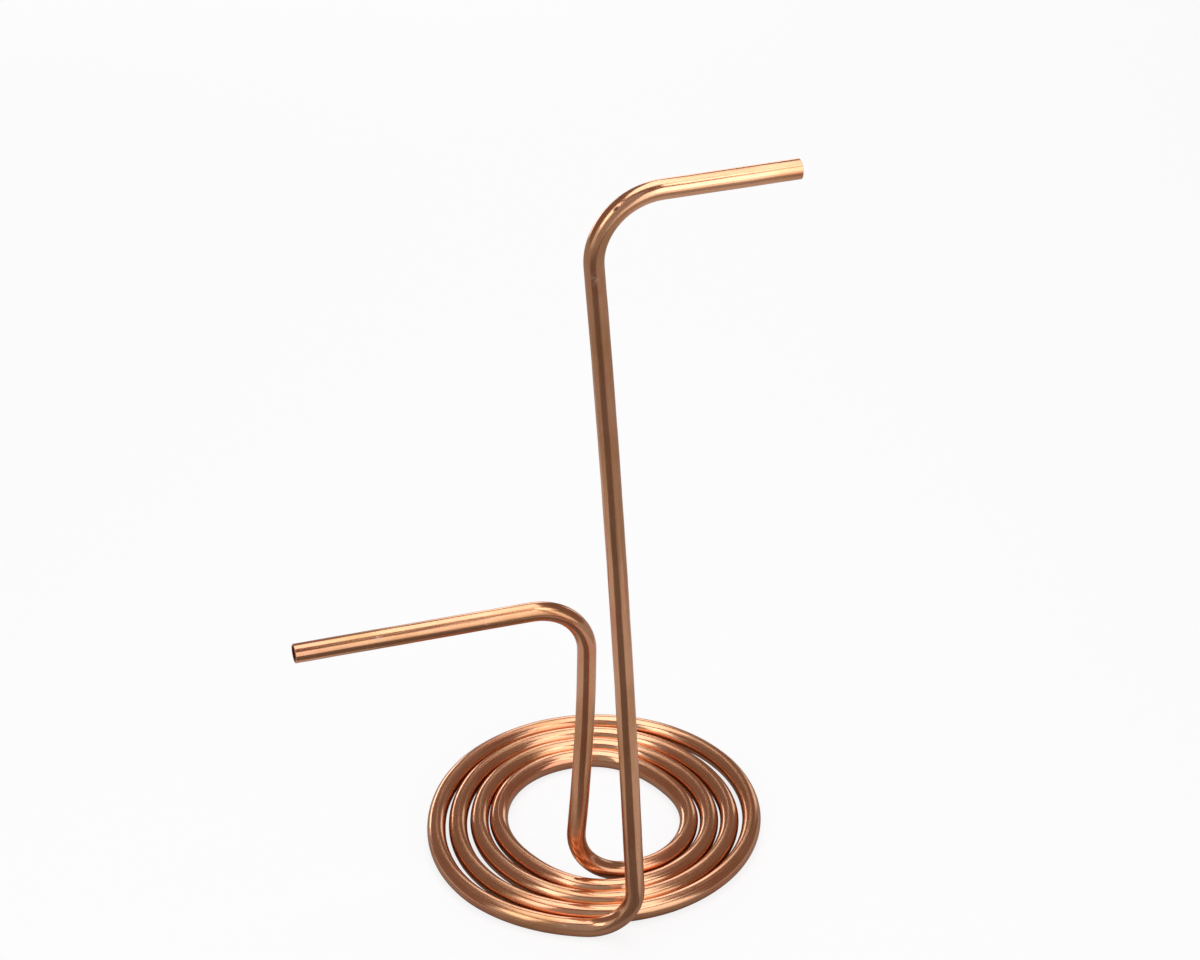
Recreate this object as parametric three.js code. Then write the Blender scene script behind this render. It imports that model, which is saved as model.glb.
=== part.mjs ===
// Immersion wort chiller: one length of bare copper tube, wound into a flat coil of four turns.
// The tube comes in along one arm, drops down a riser, winds inward through the coil and leaves
// up a second, shorter riser and along a second arm. Both ends are open and cut square.
// Millimetres, +Z up. X runs along the two arms, and the coil lies on the plane z = 0.
import * as THREE from 'three';

// ---- Driving dimensions ----------------------------------------------------------------
const TUBE_DIAMETER = 9.525;        // 3/8 in copper tube, outside
const WALL = 0.81;                  // 0.032 in wall
const SIDES = 12;                   // flats round the tube, so one of them faces straight down
const CUT_GAP = 0.3;                // clearance between neighbouring stretches

// The coil is wound by hand, so it is no true spiral. Each row is one turn, the outermost first,
// and gives the centreline radius at every eighth of that turn, going clockwise from above.
const TURN_RADII = [
  [88.5, 88.5, 83.5, 83.0, 83.0, 81.5, 79.5, 78.0],
  [77.5, 76.0, 72.5, 73.0, 72.0, 68.0, 68.0, 68.0],
  [67.0, 63.0, 61.5, 63.0, 62.0, 57.5, 57.5, 58.0],
  [57.0, 51.0, 51.5, 53.0, 52.0, 46.5, 47.0, 47.0],
];
const INNER_RADIUS = 43.5;          // where the innermost turn ends
const FIRST_STATION = 17;           // degrees clockwise from -Y to the first radius of each turn
const COIL_START = 4.3;             // degrees past the first station where the outer foot bend ends
const COIL_END = 339;               // degrees past it where the last turn meets the inner foot bend

// The two legs. Each riser leans by footLean (X over Z) as far as bowHeight, and from there runs
// to the top corner at topX, where its arm sets off along X to armEnd. footBend and topBend are
// the centreline radii of its two bends. X is counted from the middle of the coil.
const TALL = {
  footBend: 25, footLean: -0.042, bowHeight: 220,
  topBend: 32, topX: -32.5, armHeight: 425, armEnd: 66.5,
};
const SHORT = {
  footBend: 28, footLean: 0.085, bowHeight: 100,
  topBend: 28, topX: -19, armHeight: 174, armEnd: -165,
};

const STEPS_PER_TURN = 40;
const STEPS_PER_BEND = 8;
const STEPS_PER_RISER = 6;
const COPPER = 0xc87d55;

// ---- Helpers -----------------------------------------------------------------------------
const axisHeight = TUBE_DIAMETER / 2;
const turns = TURN_RADII.length;
const eighths = TURN_RADII[0].length;
const radians = THREE.MathUtils.degToRad;

// Radius of the coil against the angle wound so far, smoothed through the stations.
const stations = [...TURN_RADII.flat(), INNER_RADIUS];
const radiusSpline = new THREE.SplineCurve(stations.map((radius, i) => new THREE.Vector2(i, radius)));

function coilPoint(degrees) {
  const radius = radiusSpline.getPoint(degrees / (360 * turns)).y;
  const angle = radians(degrees + FIRST_STATION);
  return new THREE.Vector3(-radius * Math.sin(angle), -radius * Math.cos(angle), axisHeight);
}

// The coil's direction of travel at an angle, from two points a tenth of a degree apart.
function coilDirection(degrees) {
  return coilPoint(degrees + 0.05).sub(coilPoint(degrees - 0.05)).normalize();
}

class CoilStretch extends THREE.Curve {
  constructor(fromDegrees, toDegrees) {
    super();
    this.from = fromDegrees;
    this.to = toDegrees;
  }
  getPoint(t) {
    return coilPoint(THREE.MathUtils.lerp(this.from, this.to, t));
  }
}

// A circular bend that rounds off the corner between two straight directions.
class Bend extends THREE.Curve {
  constructor(before, corner, after, radius) {
    super();
    const back = before.clone().sub(corner).normalize();
    const on = after.clone().sub(corner).normalize();
    this.turn = Math.PI - back.angleTo(on);
    this.tangentLength = radius * Math.tan(this.turn / 2);
    this.start = corner.clone().addScaledVector(back, this.tangentLength);
    this.end = corner.clone().addScaledVector(on, this.tangentLength);
    const bisector = back.clone().add(on).normalize();
    this.centre = corner.clone().addScaledVector(bisector, radius / Math.cos(this.turn / 2));
    this.radial = this.start.clone().sub(this.centre);
    this.along = back.clone().negate().multiplyScalar(radius);
  }
  getPoint(t) {
    const angle = t * this.turn;
    return this.centre.clone()
      .addScaledVector(this.radial, Math.cos(angle))
      .addScaledVector(this.along, Math.sin(angle));
  }
}

// The same curve with a little taken off its start or its end, so that stretches don't touch.
class Trimmed extends THREE.Curve {
  constructor(whole, offStart, offEnd) {
    super();
    this.whole = whole;
    this.from = offStart / whole.getLength();
    this.to = 1 - offEnd / whole.getLength();
  }
  getPoint(t) {
    return this.whole.getPointAt(THREE.MathUtils.lerp(this.from, this.to, t));
  }
}

// ---- Tube section: a regular ring of flats, each as far from the axis as the round tube ----
function regularOutline(Outline, inscribedRadius) {
  const halfFlat = Math.PI / SIDES;
  const cornerRadius = inscribedRadius / Math.cos(halfFlat);
  const outline = new Outline();
  for (let i = 0; i < SIDES; i++) {
    const angle = (2 * i + 1) * halfFlat;
    const x = cornerRadius * Math.cos(angle);
    const y = cornerRadius * Math.sin(angle);
    if (i === 0) outline.moveTo(x, y);
    else outline.lineTo(x, y);
  }
  outline.closePath();
  return outline;
}

const tubeSection = regularOutline(THREE.Shape, TUBE_DIAMETER / 2);
tubeSection.holes.push(regularOutline(THREE.Path, TUBE_DIAMETER / 2 - WALL));

const group = new THREE.Group();

function addStretch(name, curve, steps, offStart = CUT_GAP / 2, offEnd = CUT_GAP / 2) {
  const geometry = new THREE.ExtrudeGeometry(tubeSection, {
    steps,
    bevelEnabled: false,
    extrudePath: new Trimmed(curve, offStart, offEnd),
  });
  const copper = new THREE.MeshStandardMaterial({ color: COPPER, metalness: 1, roughness: 0.32 });
  const mesh = new THREE.Mesh(geometry, copper);
  mesh.name = name;
  group.add(mesh);
}

// ---- Coil: four turns, each its own stretch ------------------------------------------------
const coilEnd = 360 * (turns - 1) + COIL_END;
for (let turn = 0; turn < turns; turn++) {
  const from = turn === 0 ? COIL_START : 360 * turn;
  const to = turn === turns - 1 ? coilEnd : 360 * (turn + 1);
  addStretch(`coil_turn_${turn + 1}`, new CoilStretch(from, to), STEPS_PER_TURN);
}

// ---- Risers and arms ---------------------------------------------------------------------
// Each one leaves the coil along its tangent, turns up at the foot, rises with a slight bow in
// its own upright plane, and turns into an arm along X at the top.
function addLeg(leg, coilAngle, outward, names) {
  const outOfCoil = coilDirection(coilAngle).multiplyScalar(outward);
  const upRiser = new THREE.Vector3(leg.footLean, 0, 1).normalize();
  const tangentLength = leg.footBend * Math.tan(outOfCoil.angleTo(upRiser) / 2);
  const tangentPoint = coilPoint(coilAngle);
  const corner = tangentPoint.clone().addScaledVector(outOfCoil, tangentLength);
  const bow = corner.clone().addScaledVector(upRiser, (leg.bowHeight - axisHeight) / upRiser.z);
  const foot = new Bend(tangentPoint, corner, bow, leg.footBend);

  const top = new THREE.Vector3(leg.topX, corner.y, leg.armHeight);
  const end = new THREE.Vector3(leg.armEnd, corner.y, leg.armHeight);
  const topBend = new Bend(bow, top, end, leg.topBend);
  const riser = new THREE.QuadraticBezierCurve3(foot.end, bow, topBend.start);
  const arm = new THREE.LineCurve3(topBend.end, end);

  addStretch(names.foot, foot, STEPS_PER_BEND);
  addStretch(names.riser, riser, STEPS_PER_RISER);
  addStretch(names.bend, topBend, STEPS_PER_BEND);
  addStretch(names.arm, arm, 1, CUT_GAP / 2, 0);
}

addLeg(TALL, COIL_START, -1, {
  foot: 'outer_foot_bend', riser: 'tall_riser', bend: 'tall_top_bend', arm: 'tall_arm',
});
addLeg(SHORT, coilEnd, 1, {
  foot: 'inner_foot_bend', riser: 'short_riser', bend: 'short_top_bend', arm: 'short_arm',
});

// ---- Origin: the middle of the footprint of the whole tube, on the plane it stands on --------
const middle = new THREE.Box3().setFromObject(group).getCenter(new THREE.Vector3());
group.position.set(-middle.x, -middle.y, 0);

export default group;
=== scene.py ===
# %% [markdown]
# # Immersion wort chiller
# A brewer lowers this coil into a kettle of hot wort and runs cold water through it. It is one
# length of bare copper tube: an arm and a riser lead down into a flat coil of four turns, and a
# second riser and arm lead out again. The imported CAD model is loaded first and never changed:
# it is the frame, and every piece made here stands for one of its stretches.

import math

import bpy
import numpy as np
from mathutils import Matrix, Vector


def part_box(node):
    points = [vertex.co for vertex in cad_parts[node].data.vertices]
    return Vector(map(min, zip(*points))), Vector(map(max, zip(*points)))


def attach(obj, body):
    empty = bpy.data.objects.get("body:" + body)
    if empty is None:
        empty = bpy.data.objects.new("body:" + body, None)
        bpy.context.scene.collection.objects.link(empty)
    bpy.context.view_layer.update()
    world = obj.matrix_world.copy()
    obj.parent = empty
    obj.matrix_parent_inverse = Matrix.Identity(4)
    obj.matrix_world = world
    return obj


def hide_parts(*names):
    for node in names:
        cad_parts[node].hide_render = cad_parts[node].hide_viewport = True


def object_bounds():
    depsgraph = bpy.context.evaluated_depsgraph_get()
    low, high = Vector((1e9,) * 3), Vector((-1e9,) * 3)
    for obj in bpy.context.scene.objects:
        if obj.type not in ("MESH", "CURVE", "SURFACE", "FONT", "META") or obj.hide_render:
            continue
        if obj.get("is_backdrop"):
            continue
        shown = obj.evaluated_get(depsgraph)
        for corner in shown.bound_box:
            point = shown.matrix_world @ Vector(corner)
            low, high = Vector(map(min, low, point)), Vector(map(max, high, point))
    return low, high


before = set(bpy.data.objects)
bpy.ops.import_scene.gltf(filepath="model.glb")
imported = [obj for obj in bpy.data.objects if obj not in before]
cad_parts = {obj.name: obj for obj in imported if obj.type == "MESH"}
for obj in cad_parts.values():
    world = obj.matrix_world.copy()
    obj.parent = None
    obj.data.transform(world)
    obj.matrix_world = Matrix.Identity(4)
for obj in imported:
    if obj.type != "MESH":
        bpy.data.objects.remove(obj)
cad_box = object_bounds()
print("CAD nodes:", sorted(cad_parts))

# %% [markdown]
# ## Sizes of the tube
# These are the sizes a pipe fitter would ask for: the tube's diameter and wall, the radius that
# each bend was pulled to, and how wide the coil was wound. They are the CAD model's own, in
# millimetres, so the fine surface made here lies on the plain one.

# %% Sizes, in millimetres
MM = 0.001
TUBE_RADIUS = 9.525 / 2
BORE_RADIUS = TUBE_RADIUS - 0.81
TURN_RADII = [
    [88.5, 88.5, 83.5, 83.0, 83.0, 81.5, 79.5, 78.0],
    [77.5, 76.0, 72.5, 73.0, 72.0, 68.0, 68.0, 68.0],
    [67.0, 63.0, 61.5, 63.0, 62.0, 57.5, 57.5, 58.0],
    [57.0, 51.0, 51.5, 53.0, 52.0, 46.5, 47.0, 47.0],
]
INNER_RADIUS = 43.5
FIRST_STATION = 17  # degrees clockwise from -Y to the first radius of each turn
COIL_START = 4.3    # degrees past it where the outer foot bend ends
COIL_END = 339      # degrees past it, on the last turn, where the inner foot bend begins
TALL = dict(foot_bend=25, foot_lean=-0.042, bow_height=220,
            top_bend=32, top_x=-32.5, arm_height=425, arm_end=66.5)
SHORT = dict(foot_bend=28, foot_lean=0.085, bow_height=100,
             top_bend=28, top_x=-19, arm_height=174, arm_end=-165)
print("turns:", len(TURN_RADII), "tube:", 2 * TUBE_RADIUS, "mm outside,", 2 * BORE_RADIUS, "mm bore")

# %% [markdown]
# ## The line that the tube follows
# A bent tube is simplest to make as a round section carried along its centreline, because that
# is how the real one was made: straight tube, pulled round formers. A true spiral would look
# machined, so the coil's radius is smoothed through eight values for each turn (a Catmull-Rom
# curve), and the turns then open and close against each other as hand-wound ones do.

# %% The coil's centreline
def unit(vectors):
    """Each vector divided by its own length."""
    return vectors / np.linalg.norm(vectors, axis=-1, keepdims=True)


RADII = np.append(np.ravel(TURN_RADII), INNER_RADIUS)


def coil_radius(degrees):
    """Catmull-Rom curve through RADII, one value every 45 degrees, its ends held."""
    place = np.asarray(degrees, float) / 45
    first = np.clip(np.floor(place).astype(int), 0, len(RADII) - 2)
    f = place - first
    r0, r1, r2, r3 = (RADII[np.clip(first + k, 0, len(RADII) - 1)] for k in (-1, 0, 1, 2))
    slope1 = (r2 - r0) / 2
    slope2 = (r3 - r1) / 2
    return ((2 * r1 - 2 * r2 + slope1 + slope2) * f**3
            + (3 * r2 - 3 * r1 - 2 * slope1 - slope2) * f**2 + slope1 * f + r1)


def coil_point(degrees):
    """Point at (-r sin a, -r cos a), a being the angle clockwise from -Y, one tube radius up."""
    a = np.radians(np.asarray(degrees, float) + FIRST_STATION)
    r = coil_radius(degrees)
    return np.stack([-r * np.sin(a), -r * np.cos(a), np.full_like(r, TUBE_RADIUS)], -1)


def coil_direction(degrees):
    """Direction of travel, from two points a tenth of a degree apart."""
    return unit(coil_point(np.asarray(degrees) + 0.05) - coil_point(np.asarray(degrees) - 0.05))


coil_end = 360 * (len(TURN_RADII) - 1) + COIL_END
print("coil across the outermost turn:", round(2 * float(coil_radius(90)) + 2 * TUBE_RADIUS), "mm")

# %% [markdown]
# ## Bends, risers and arms
# Each leg is a coil tangent, a foot bend, a riser with a slight bow, a top bend and a straight
# arm. The bends are arcs of a circle. The riser is a quadratic Bezier curve, which leaves each
# bend along its tangent. Every stretch gives its points, their directions of travel, and a side
# vector that stays level across bend and coil, so the section never twists suddenly.

# %% Kinds of stretch
STEP = 1.6  # mm between sections along the tube, fine enough for the tightest bend


def parameter(length):
    """Evenly spaced values from 0 to 1, about one for each STEP of length."""
    return np.linspace(0, 1, max(3, int(round(length / STEP)) + 1))[:, None]


def straight(start, end):
    """Points start + t (end - start)."""
    t = parameter(np.linalg.norm(end - start))
    return start + t * (end - start), np.broadcast_to(unit(end - start), (len(t), 3))


def bowed(start, control, end):
    """Quadratic Bezier: (1-t)^2 start + 2t(1-t) control + t^2 end."""
    t = parameter(np.linalg.norm(end - start))
    points = (1 - t)**2 * start + 2 * t * (1 - t) * control + t**2 * end
    return points, unit((1 - t) * (control - start) + t * (end - control))


def bend(before, corner, after, radius):
    """Arc of that radius that rounds the corner: centre + radial cos a + along sin a."""
    back, on = unit(before - corner), unit(after - corner)
    turn = math.pi - math.acos(float(back @ on))
    centre = corner + unit(back + on) * radius / math.cos(turn / 2)
    radial = corner + back * radius * math.tan(turn / 2) - centre
    a = turn * parameter(radius * turn)
    points = centre + radial * np.cos(a) - back * radius * np.sin(a)
    return points, unit(-radial * np.sin(a) - back * radius * np.cos(a))


print("a section every", STEP, "mm, so", len(parameter(100)), "in 100 mm of tube")

# %% One leg of the chiller
LIP = 0.8  # mm of tube at each open end that the lip's own profile takes over
ACROSS = np.array([0.0, 1.0, 0.0])
UP = np.array([0.0, 0.0, 1.0])


def leg(sizes, degrees, outward):
    """The four stretches of a leg, in order away from the coil, as (points, directions, sides)."""
    tangent_point = coil_point(degrees)
    out_of_coil = outward * coil_direction(degrees)
    up_riser = unit(np.array([sizes["foot_lean"], 0.0, 1.0]))
    turn = math.acos(float(out_of_coil @ up_riser))
    corner = tangent_point + out_of_coil * sizes["foot_bend"] * math.tan(turn / 2)
    bow = corner + up_riser * (sizes["bow_height"] - TUBE_RADIUS) / up_riser[2]
    top = np.array([sizes["top_x"], corner[1], sizes["arm_height"]])
    end = np.array([sizes["arm_end"], corner[1], sizes["arm_height"]])
    foot = bend(tangent_point, corner, bow, sizes["foot_bend"])
    top_bend = bend(bow, top, end, sizes["top_bend"])
    riser = bowed(foot[0][-1], bow, top_bend[0][0])
    arm = straight(top_bend[0][-1], end - LIP * unit(end - top))
    coil_side = np.cross(coil_direction(degrees), UP)
    share = np.linspace(0, 1, len(riser[0]))[:, None]
    sides = [np.broadcast_to(coil_side, foot[0].shape), (1 - share) * coil_side + share * ACROSS,
             np.broadcast_to(ACROSS, top_bend[0].shape), np.broadcast_to(ACROSS, arm[0].shape)]
    return [(p, d, s) for (p, d), s in zip((foot, riser, top_bend, arm), sides)]


def turned_round(stretch):
    """The same stretch travelled the other way."""
    points, directions, sides = stretch
    return points[::-1], -directions[::-1], sides[::-1]


print("the tall leg's stretches have", [len(part[0]) for part in leg(TALL, COIL_START, -1)], "sections")

# %% The whole tube, from the tall arm's open end to the short arm's
stretches = {}
for name, stretch in zip(("tall_arm", "tall_top_bend", "tall_riser", "outer_foot_bend"),
                         reversed(leg(TALL, COIL_START, -1))):
    stretches[name] = turned_round(stretch)
for turn in range(len(TURN_RADII)):
    start = COIL_START if turn == 0 else 360 * turn
    end = min(360 * (turn + 1), coil_end)
    length = math.radians(end - start) * float(coil_radius((start + end) / 2))
    degrees = start + parameter(length)[:, 0] * (end - start)
    directions = coil_direction(degrees)
    stretches[f"coil_turn_{turn + 1}"] = (coil_point(degrees), directions, np.cross(directions, UP))
for name, stretch in zip(("inner_foot_bend", "short_riser", "short_top_bend", "short_arm"),
                         leg(SHORT, coil_end, 1)):
    stretches[name] = stretch
print({name: len(stretch[0]) for name, stretch in stretches.items()})

# %% [markdown]
# ## Where the tube stands
# The path above is counted from the middle of the coil. The frame says where the real arm is, so
# the whole path moves by the difference between the two. The stretches then become one long list
# of sections, each with its own span of it, and neighbours share the section at their seam.

# %% Move the path into the frame
arm_low, arm_high = (np.array(corner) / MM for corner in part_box("tall_arm"))
arm_y = stretches["tall_arm"][0][0, 1]
shift = np.array([arm_high[0] - TALL["arm_end"], (arm_low[1] + arm_high[1]) / 2 - arm_y, 0.0])

spans = {}  # first and last section of each stretch
parts = []
count = 0
for name, stretch in stretches.items():
    fresh = slice(1 if count else 0, None)
    parts.append([values[fresh] for values in stretch])
    first = max(count - 1, 0)
    count += len(parts[-1][0])
    spans[name] = (first, count - 1)
centres, directions, sides = (np.vstack(values) for values in zip(*parts))
centres = centres + shift
along = np.append(0, np.cumsum(np.linalg.norm(np.diff(centres, axis=0), axis=1))) + LIP
print("tube length:", round(along[-1] + LIP), "mm in", len(centres), "sections; shift", shift.round(2))

# %% [markdown]
# ## The tube's surface
# The outside is a function of two parameters: how far along the tube, and the angle round it.
# Its radius is the tube's, less a little where a bend has pulled the tube oval, plus waves of a
# few hundredths of a millimetre that hand bending leaves. They are far too small to see as
# shape, but they break the long reflections up as on a real tube.

# %% Directions round each section
AROUND = 48  # points round the tube
angle = np.linspace(0, 2 * math.pi, AROUND, endpoint=False)
across = unit(sides - np.sum(sides * directions, 1, keepdims=True) * directions)
upward = np.cross(across, directions)


def round_each_section(upward_share, across_share):
    """For every section and angle: upward_share of the upward vector plus across_share of across."""
    return (upward_share[None, :, None] * upward[:, None]
            + across_share[None, :, None] * across[:, None])


spoke = round_each_section(np.cos(angle), np.sin(angle))  # straight out of the tube
rim = round_each_section(-np.sin(angle), np.cos(angle))   # round it, a quarter turn further
print("surface:", spoke.shape[0], "sections of", AROUND, "points")

# %% Outside and bore as grids of points
OVAL_IN_BENDS = 0.028
# Waves of the outside: height and length in mm, how many go round the tube, and phase.
WAVES = [(0.020, 61, 1, 0.4), (0.016, 37, 2, 2.1), (0.012, 23, -1, 4.0), (0.010, 97, 0, 1.2)]

flattening = np.zeros(len(centres))
for name in ("tall_top_bend", "outer_foot_bend", "inner_foot_bend", "short_top_bend"):
    first, end = spans[name]
    reach = np.clip((along - along[first]) / (along[end] - along[first]), 0, 1)
    flattening += OVAL_IN_BENDS * np.sin(math.pi * reach)**2

waviness = sum(height * np.sin(2 * math.pi * along[:, None] / length + lobes * angle + phase)
               for height, length, lobes, phase in WAVES)
radius = TUBE_RADIUS * (1 - flattening[:, None] * np.cos(2 * angle)) + waviness
slope_along = np.gradient(radius, along, axis=0)
slope_round = (np.roll(radius, -1, 1) - np.roll(radius, 1, 1)) / (2 * angle[1]) / radius

outside = centres[:, None] + radius[..., None] * spoke
outside_normal = unit(spoke - slope_round[..., None] * rim
                      - slope_along[..., None] * directions[:, None])
bore = centres[:, None] + BORE_RADIUS * spoke
print("radius from", radius.min().round(3), "to", radius.max().round(3), "mm")

# %% [markdown]
# ## The open ends
# The two arms end in plain cuts. A tube cutter presses the outer edge slightly round, and the
# reamer takes the burr off the inner one. A Bevel modifier could round both, but it would round
# the seams between the stretches as well. So the wall's end is a small profile of its own: a
# quarter circle from the outside, a flat, and a smaller quarter circle into the bore.

# %% Lip profile
OUTER_ROUND = 0.26  # mm, left by the tube cutter's wheel
INNER_ROUND = 0.16  # mm, left by the reamer


def lip(section, outward):
    """Rings of the lip beyond a section, from the outside to the bore: a point lies at
    radius - round (1 - cos a) and round (1 - sin a) short of the cut, a running 0 to 180."""
    a = np.radians(np.append(np.linspace(0, 90, 6), np.linspace(90, 180, 6)))
    on_outer = np.arange(len(a)) < len(a) // 2
    edge = np.where(on_outer, OUTER_ROUND, INNER_ROUND)
    middle = np.where(on_outer, TUBE_RADIUS - OUTER_ROUND, BORE_RADIUS + INNER_ROUND)
    ring_radius = middle + edge * np.cos(a)
    ahead = LIP - edge * (1 - np.sin(a))
    travel = outward * directions[section]
    points = (centres[section] + ahead[:, None, None] * travel
              + ring_radius[:, None, None] * spoke[section][None])
    normals = np.cos(a)[:, None, None] * spoke[section][None] + np.sin(a)[:, None, None] * travel
    reach = along[section] + outward * ahead
    return points, normals, reach


print("wall at the cut:", round(TUBE_RADIUS - OUTER_ROUND - BORE_RADIUS - INNER_ROUND, 2), "mm of flat")

# %% [markdown]
# ## From grids to pieces
# Each stretch becomes one closed piece: out along the outside, over the end of the wall, back
# along the bore, and over the other end. Neighbours share the ring of points at their seam and
# carry the same normals there, so the joined tube reads as one. Each point also keeps where it
# lies on the tube as if that were straight, and the material's patterns follow that.

# %% One closed piece for each stretch
def grid_piece(name, points, start_normals, end_normals, straightened):
    """Mesh of a grid that closes on itself both ways. start_normals and end_normals are those at
    the two sides of each band between one ring and the next."""
    rings, columns = points.shape[:2]
    ring, column = np.meshgrid(np.arange(rings), np.arange(columns), indexing="ij")
    next_ring, next_column = (ring + 1) % rings, (column + 1) % columns
    corners = [(ring, column), (ring, next_column), (next_ring, next_column), (next_ring, column)]
    faces = np.stack([r * columns + c for r, c in corners], -1).reshape(-1, 4)
    normals = np.stack([start_normals[ring, column], start_normals[ring, next_column],
                        end_normals[ring, next_column], end_normals[ring, column]], -2)
    mesh = bpy.data.meshes.new(name)
    mesh.from_pydata(points.reshape(-1, 3) * MM, [], faces)
    mesh.polygons.foreach_set("use_smooth", np.ones(len(faces), bool))
    place = mesh.attributes.new("on_straight_tube", "FLOAT_VECTOR", "POINT")
    place.data.foreach_set("vector", np.ascontiguousarray(straightened, np.float32).ravel() * MM)
    mesh.normals_split_custom_set(normals.reshape(-1, 3))
    piece = bpy.data.objects.new(name, mesh)
    bpy.context.collection.objects.link(piece)
    return piece


def straightened_ring(ring_radius, reach):
    """Places on the tube as if it were straight: (r cos a, r sin a, distance along)."""
    ring_radius = np.broadcast_to(ring_radius, (len(reach), AROUND))
    return np.stack([ring_radius * np.cos(angle), ring_radius * np.sin(angle),
                     np.broadcast_to(reach[:, None], ring_radius.shape)], -1)


def stretch_piece(name, first, end):
    """The stretch from section first to section end, with a lip where the tube is open."""
    here = slice(first, end + 1)
    reach = along[here]
    rings = [outside[here]]
    normals = [outside_normal[here]]
    places = [straightened_ring(TUBE_RADIUS, reach)]
    if end == len(centres) - 1:
        points, lip_normals, lip_reach = lip(end, 1)
        rings.append(points)
        normals.append(lip_normals)
        places.append(straightened_ring(TUBE_RADIUS, lip_reach))
    rings.append(bore[here][::-1])
    normals.append(-spoke[here][::-1])
    places.append(straightened_ring(BORE_RADIUS, reach[::-1]))
    if first == 0:
        points, lip_normals, lip_reach = lip(first, -1)
        rings.append(points[::-1])
        normals.append(lip_normals[::-1])
        places.append(straightened_ring(TUBE_RADIUS, lip_reach[::-1]))
    points, ring_normals = np.concatenate(rings), np.concatenate(normals)
    start_normals, end_normals = ring_normals.copy(), np.roll(ring_normals, -1, 0)
    if end < len(centres) - 1:  # the flat ring of wall where this stretch meets the next
        start_normals[end - first] = end_normals[end - first] = directions[end]
    if first > 0:
        start_normals[-1] = end_normals[-1] = -directions[first]
    return grid_piece(f"{name}_tube", points, start_normals, end_normals, np.concatenate(places))


# %% Make the twelve pieces
pieces = {name: stretch_piece(name, *span) for name, span in spans.items()}
for name, piece in pieces.items():
    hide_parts(name)
    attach(piece, "root")
    low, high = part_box(name)
    corners = np.empty(3 * len(piece.data.vertices), np.float32)
    piece.data.vertices.foreach_get("co", corners)
    corners = corners.reshape(-1, 3)
    off = max(np.abs(corners.min(0) - low).max(), np.abs(corners.max(0) - high).max()) / MM
    print(f"{piece.name}: {len(piece.data.polygons)} faces, box within {off:.2f} mm of the CAD node")

# %% [markdown]
# ## Drawn copper
# Copper tube is pulled through a die, which leaves fine lines along it and a satin shine across
# them. Bare copper is salmon pink when fresh and goes brown where it is handled. Metals take
# their colour from the base colour alone, and their reflections do the rest. The patterns could
# be painted pictures, but noise needs none and is as sharp close up. It is read on the straight
# tube, so it follows the bends as the real lines do.

# %% Helpers for materials
def linear(hex_colour):
    """An sRGB hex colour as linear red, green, blue and alpha."""
    channels = [int(hex_colour[i:i + 2], 16) / 255 for i in (1, 3, 5)]
    return [c / 12.92 if c <= 0.04045 else ((c + 0.055) / 1.055)**2.4 for c in channels] + [1.0]


def add(tree, kind, inputs=(), **settings):
    """A node with its settings, and its inputs either set to values or linked to sockets."""
    node = tree.nodes.new(kind)
    for key, value in settings.items():
        setattr(node, key, value)
    for key, value in dict(inputs).items():
        if isinstance(value, bpy.types.NodeSocket):
            tree.links.new(value, node.inputs[key])
        else:
            node.inputs[key].default_value = value
    return node


print("middle grey in linear light:", round(linear("#808080")[0], 3))

# %% Patterns on the tube
def tube_noise(tree, place, width, length, detail):
    """Noise whose patches are that wide round the tube and that long along it, in millimetres."""
    scale = 1 / (np.array([width, width, length]) * MM)
    at = add(tree, "ShaderNodeMapping", {"Vector": place, "Scale": scale}).outputs[0]
    noise = add(tree, "ShaderNodeTexNoise", {"Vector": at, "Scale": 1.0, "Detail": detail})
    return noise.outputs["Fac"]


def between(tree, value, low, high, to_low=0.0, to_high=1.0):
    """The value carried smoothly from the range low..high to the range to_low..to_high."""
    return add(tree, "ShaderNodeMapRange", {"Value": value, "From Min": low, "From Max": high,
                                            "To Min": to_low, "To Max": to_high},
               interpolation_type="SMOOTHSTEP").outputs["Result"]


# %% [markdown]
# ## Marks of use
# A real tube has been knocked and gripped. Each mark is a soft-edged oval on the straight tube,
# placed by its stretch, so it stays where it is if a size changes. Scuffs are paler and rougher
# than the metal round them, and the one dent holds dirt.

# %% Scuffs and the dent
# Stretch, share of the way along it, degrees round it (0 is up, or the outside of the bend above
# a riser, and -90 faces the front), half the mark's length and half its width in millimetres.
SCUFFS = [("tall_riser", 0.01, -75, 5.0, 2.6), ("short_arm", 0.66, -52, 3.0, 2.0),
          ("short_arm", 0.20, -75, 2.2, 1.2), ("coil_turn_1", 0.02, -50, 2.6, 1.2)]
DENTS = [("tall_top_bend", 0.42, -40, 2.2, 1.0)]


def on_straight_tube(stretch, share, degrees_round):
    """Place of a mark on the straight tube, in metres: (r cos a, r sin a, distance along)."""
    first, end = spans[stretch]
    a = math.radians(degrees_round)
    return np.array([TUBE_RADIUS * math.cos(a), TUBE_RADIUS * math.sin(a),
                     along[first] + share * (along[end] - along[first])]) * MM


def marked(tree, place, marks):
    """1 inside the marks and 0 outside. The distance from a mark's middle is counted in its own
    half sizes, and the mark fades out between 0.3 and 1 of them."""
    total = 0.0
    for stretch, share, degrees_round, half_length, half_width in marks:
        size = np.array([half_width, half_width, half_length]) * MM
        centre = on_straight_tube(stretch, share, degrees_round)
        offset = add(tree, "ShaderNodeMapping", {"Vector": place, "Scale": 1 / size,
                                                 "Location": -centre / size}).outputs[0]
        distance = add(tree, "ShaderNodeVectorMath", {0: offset}, operation="LENGTH").outputs["Value"]
        inside = between(tree, distance, 0.3, 1.0, 1.0, 0.0)
        total = add(tree, "ShaderNodeMath", {0: inside, 1: total}, operation="ADD").outputs[0]
    return total


print("scuffs:", len(SCUFFS), "dents:", len(DENTS))

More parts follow.
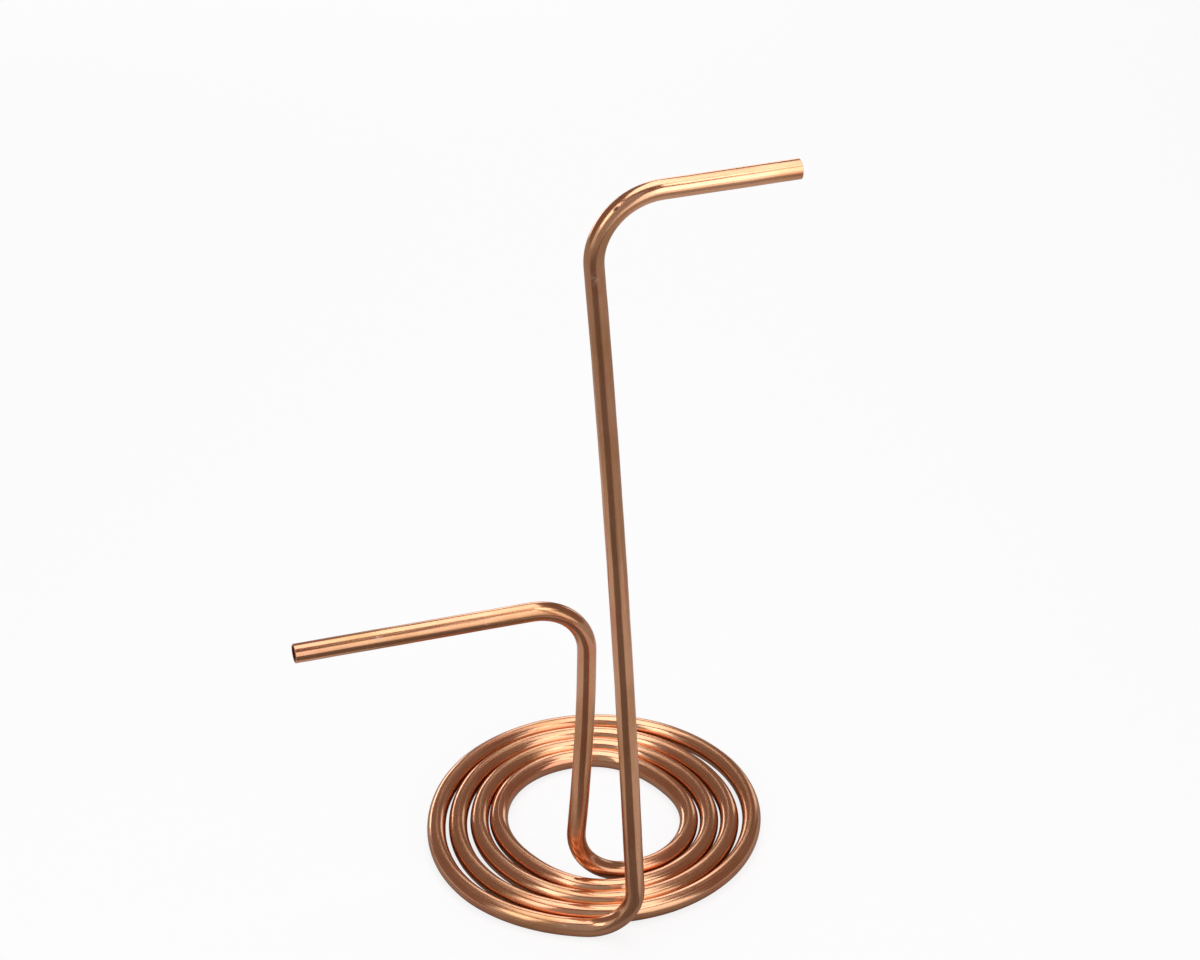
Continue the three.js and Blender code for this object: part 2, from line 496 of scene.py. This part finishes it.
# %% [markdown]
# ## The copper itself
# The colour is built in layers, as on the real tube: fresh drawn copper, then brown tarnish,
# redder patches from hands, specks, scuffs, and dirt in the dent. The shine is built the same way.
# The drawing lines need a little relief as well, which spreads each highlight across the tube.

# %% Drawn, lightly tarnished copper
def drawn_copper():
    """Bare drawn copper tube, a week after bending: satin, lightly tarnished and scuffed."""
    material = bpy.data.materials.new("drawn_copper")
    material.use_nodes = True
    tree = material.node_tree
    surface = tree.nodes["Principled BSDF"]
    surface.inputs["Metallic"].default_value = 1.0
    place = add(tree, "ShaderNodeAttribute", attribute_name="on_straight_tube").outputs["Vector"]

    # Tarnish lies in patches about 16 mm across, drawn out along the tube, and hands leave
    # redder ones. Specks of it are about a millimetre.
    clouds = tube_noise(tree, place, width=16, length=45, detail=4)
    handling = tube_noise(tree, place, width=14, length=36, detail=3)
    specks = tube_noise(tree, place, width=0.9, length=1.4, detail=2)
    # Real die lines are too fine to show. They are drawn 0.25 mm apart and 60 mm long.
    lines = tube_noise(tree, place, width=0.25, length=60, detail=2)

    broken = between(tree, specks, 0.40, 0.60, to_high=0.6)  # a scuff touches the high spots only
    scuffed = add(tree, "ShaderNodeMath", {0: marked(tree, place, SCUFFS), 1: broken},
                  operation="MULTIPLY").outputs[0]
    colour = linear("#EDB58F")
    for amount, paint in (
        (between(tree, clouds, 0.42, 0.72), "#D39B6E"),
        (between(tree, handling, 0.50, 0.75), "#E59E7C"),
        (between(tree, specks, 0.56, 0.72, to_high=0.35), "#C48A68"),
        (scuffed, "#F3CDBB"),
        (marked(tree, place, DENTS), "#5A3A2C"),
    ):
        colour = add(tree, "ShaderNodeMix", {"Factor": amount, "A": colour, "B": linear(paint)},
                     data_type="RGBA").outputs["Result"]
    tree.links.new(colour, surface.inputs["Base Color"])

    # Tarnish dulls the shine a little, and the bottoms of the die lines and the scuffs are rough.
    roughness = between(tree, clouds, 0.30, 0.75, to_low=0.13, to_high=0.22)
    for amount, rough in ((between(tree, lines, 0.46, 0.74), 0.32), (scuffed, 0.5)):
        roughness = add(tree, "ShaderNodeMix", {"Factor": amount, "A": roughness,
                                                "B": rough}).outputs["Result"]
    tree.links.new(roughness, surface.inputs["Roughness"])
    relief = add(tree, "ShaderNodeBump", {"Height": lines, "Strength": 0.2, "Distance": 0.01 * MM})
    tree.links.new(relief.outputs["Normal"], surface.inputs["Normal"])
    return material


copper = drawn_copper()
for piece in pieces.values():
    piece.data.materials.append(copper)
print("material:", copper.name, len(copper.node_tree.nodes), "nodes")

# %% [markdown]
# ## Table, lights and camera
# Bare metal has almost no colour of its own to show: what reads as copper is the surroundings,
# seen in it. The bright bands down the tube are soft panels, and the dark lines between them are
# the dim room. A plain white table would light the risers from below and wash those lines out,
# so the reflections see a duller table with painted light and shade on it: a paler sheet round
# the chiller, a disc of painted shadow under the coil and a dark wedge of painted shade in front.

# %% Helpers for the studio
def direction(azimuth, elevation):
    """Unit vector that many degrees to the right of the front (-Y) and above the table."""
    a, e = math.radians(azimuth), math.radians(elevation)
    return np.array([math.sin(a) * math.cos(e), -math.cos(a) * math.cos(e), math.sin(e)])


def card(name, corners, colour="#000000", glow=0.0, seen_by_camera=False):
    """Flat matt polygon of the studio, part of no object. It glows with that brightness."""
    mesh = bpy.data.meshes.new(name)
    mesh.from_pydata(np.array(corners, float), [], [range(len(corners))])
    sheet = bpy.data.objects.new(name, mesh)
    bpy.context.collection.objects.link(sheet)
    paint = bpy.data.materials.new(name)
    paint.use_nodes = True
    surface = paint.node_tree.nodes["Principled BSDF"]
    surface.inputs["Base Color"].default_value = linear(colour)
    surface.inputs["Roughness"].default_value = 1.0
    surface.inputs["Specular IOR Level"].default_value = 0.0
    surface.inputs["Emission Color"].default_value = (1, 1, 1, 1)
    surface.inputs["Emission Strength"].default_value = glow
    mesh.materials.append(paint)
    sheet.visible_camera = seen_by_camera
    sheet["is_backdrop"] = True
    return sheet


def softbox(name, distance, corners, brightness):
    """Glowing panel, its corners given as azimuth and elevation at a distance from the coil."""
    return card(name, [distance * direction(*corner) for corner in corners], glow=brightness)


def lying(half_x, half_y, lift=0.0):
    """Corners of a rectangle on the table, that far above it so that two never share a plane."""
    return [(x, y, lift) for x, y in ((-half_x, -half_y), (half_x, -half_y),
                                      (half_x, half_y), (-half_x, half_y))]


print("to the right and level is", direction(90, 0).round(3))

# %% The table, and the duller one that reflections see
table = card("white_table", lying(6, 6), "#838486", 0.83, seen_by_camera=True)
table.visible_glossy = False

LAYER = 0.0001  # metres between one sheet on the table and the next
# Painted light and shadow, seen only in reflections: a paler sheet round the chiller, and a darker disc on
# it under the coil.
around = np.radians(np.arange(0, 360, 10))
shade = [(0.04 + 0.12 * math.cos(a), 0.12 * math.sin(a), 2 * LAYER) for a in around]
# Painted shade: a dark wedge on the table in front of the chiller, which only reflections see.
painted_front_shade = [(x, y, 3 * LAYER) for x, y in ((-0.06, -0.105), (0.05, -0.105), (0.13, -1.3), (-0.95, -0.66))]
for name, corners, colour in (
    ("table_in_reflections", lying(6, 6), "#AAA5A2"),
    # painted light round the chiller
    ("sheet_in_reflections", lying(0.32, 0.38, LAYER), "#E1E1E1"),
    # painted shadow under the coil
    ("shade_in_reflections", shade, "#B4B0AE"),
    # painted shade in front, seen only in reflections
    ("painted_front_shade_in_reflections", painted_front_shade, "#867E7A"),
):
    sheet = card(name, corners, colour)
    sheet.visible_diffuse = sheet.visible_shadow = False
    print(name, "in", colour)

# %% Lights, as glowing panels
# One hangs level overhead and gives the tops of the arms and turns their pale band.
OVERHEAD_HEIGHT = 1.15
OVERHEAD_PLAN = [(-0.42, -0.05), (0.43, -0.22), (0.43, 0.40), (0.38, 1.25), (-0.28, 0.36), (-0.42, 0.10)]
card("overhead", [(x, y, OVERHEAD_HEIGHT) for x, y in OVERHEAD_PLAN], glow=1.95)

# Two stand on the right for the tall arm alone: a tall strip far off, and a panel close by, which
# lights no table.
card("right_strip", [(0.44, -1.45, 0.42), (0.62, -1.45, 0.42), (0.62, -1.45, 1.25), (0.44, -1.45, 1.25)],
     glow=1.6)
near = card("right_near", [(0.09, -0.40, 0.44), (0.36, -0.24, 0.50), (0.40, -0.20, 0.80),
                           (0.09, -0.40, 0.65)], glow=2.5)
near.visible_diffuse = near.visible_shadow = False

# The rest stand round the coil: name, distance in metres, corners in degrees, brightness.
SOFTBOXES = [
    ("right_high", 2.0, [(28, 57), (58, 57), (66, 71), (36, 71)], 2.8),
    ("right_middle", 1.6, [(0, 17), (47, 17), (44, 44), (0, 44)], 1.55),
    ("right_low", 1.6, [(-5, 1), (50, 1), (50, 17), (-5, 17)], 1.2),
    ("left", 1.4, [(-80, 36), (-56, 24), (-56, 60), (-94, 62)], 2.4),
    ("left_low", 1.4, [(-84, 8), (-50, 8), (-56, 24), (-84, 34)], 0.65),
    ("behind", 1.5, [(155, 2), (172, 2), (170, 32), (156, 32)], 1.6),
    ("behind_right", 1.5, [(123, 1), (138, 1), (136, 21), (126, 21)], 1.1),
    ("behind_left", 1.5, [(-180, 1), (-150, 1), (-155, 10), (-180, 14)], 2.6),
    ("front", 2.6, [(-50, 1), (-5, 1), (-5, 64), (-50, 64)], 0.35),
]
for panel in SOFTBOXES:
    softbox(*panel)
print("panels:", 3 + len(SOFTBOXES))

# %% The room
# The metal sees a dim, warm room between the panels, and the camera sees white past the table.
world = bpy.data.worlds.new("dim_room")
world.use_nodes = True
tree = world.node_tree
seen = add(tree, "ShaderNodeLightPath").outputs["Is Camera Ray"]
room = add(tree, "ShaderNodeMix", {"Factor": seen, "A": (0.215, 0.148, 0.124, 1), "B": (0.9, 0.9, 0.9, 1)},
           data_type="RGBA")
tree.links.new(room.outputs["Result"], tree.nodes["Background"].inputs["Color"])
bpy.context.scene.world = world
bpy.context.scene.view_settings.view_transform = "Standard"
print("world:", world.name)

# %% The camera
# A long lens from 2.1 m keeps the risers nearly parallel. It stands a little left of the front,
# looks 38 degrees down, and aims at the middle of the tube's height.
SENSOR_WIDTH = 36       # mm
FOCAL_LENGTH = 120.96   # mm
CAMERA_DISTANCE = 2.1   # metres from the middle of the coil
CAMERA_AZIMUTH, CAMERA_ELEVATION = -17, 38
AIM = np.array([0.001, 0, 0.2141])  # metres from the middle of the coil

coil_middle = shift * MM
lens = bpy.data.cameras.new("camera")
lens.sensor_width = SENSOR_WIDTH
lens.lens = FOCAL_LENGTH
camera = bpy.data.objects.new("camera", lens)
camera.location = coil_middle + CAMERA_DISTANCE * direction(CAMERA_AZIMUTH, CAMERA_ELEVATION)
line_of_sight = Vector(coil_middle + AIM) - camera.location
camera.rotation_euler = line_of_sight.to_track_quat("-Z", "Y").to_euler()
bpy.context.collection.objects.link(camera)
bpy.context.scene.camera = camera
print("camera at", [round(v, 3) for v in camera.location])

# %% [markdown]
# The fine surface has to fill the same box as the CAD model, which the physics uses. It may differ
# by a few tenths of a millimetre, because the CAD coil is made of short straight steps, and the
# true curve stands a little outside them.

# %% Write both boxes and finish
visual_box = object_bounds()
for label, box in (("CAD", cad_box), ("visual", visual_box)):
    print(label, "box:", [[round(float(v) * 1000, 2) for v in corner] for corner in box])
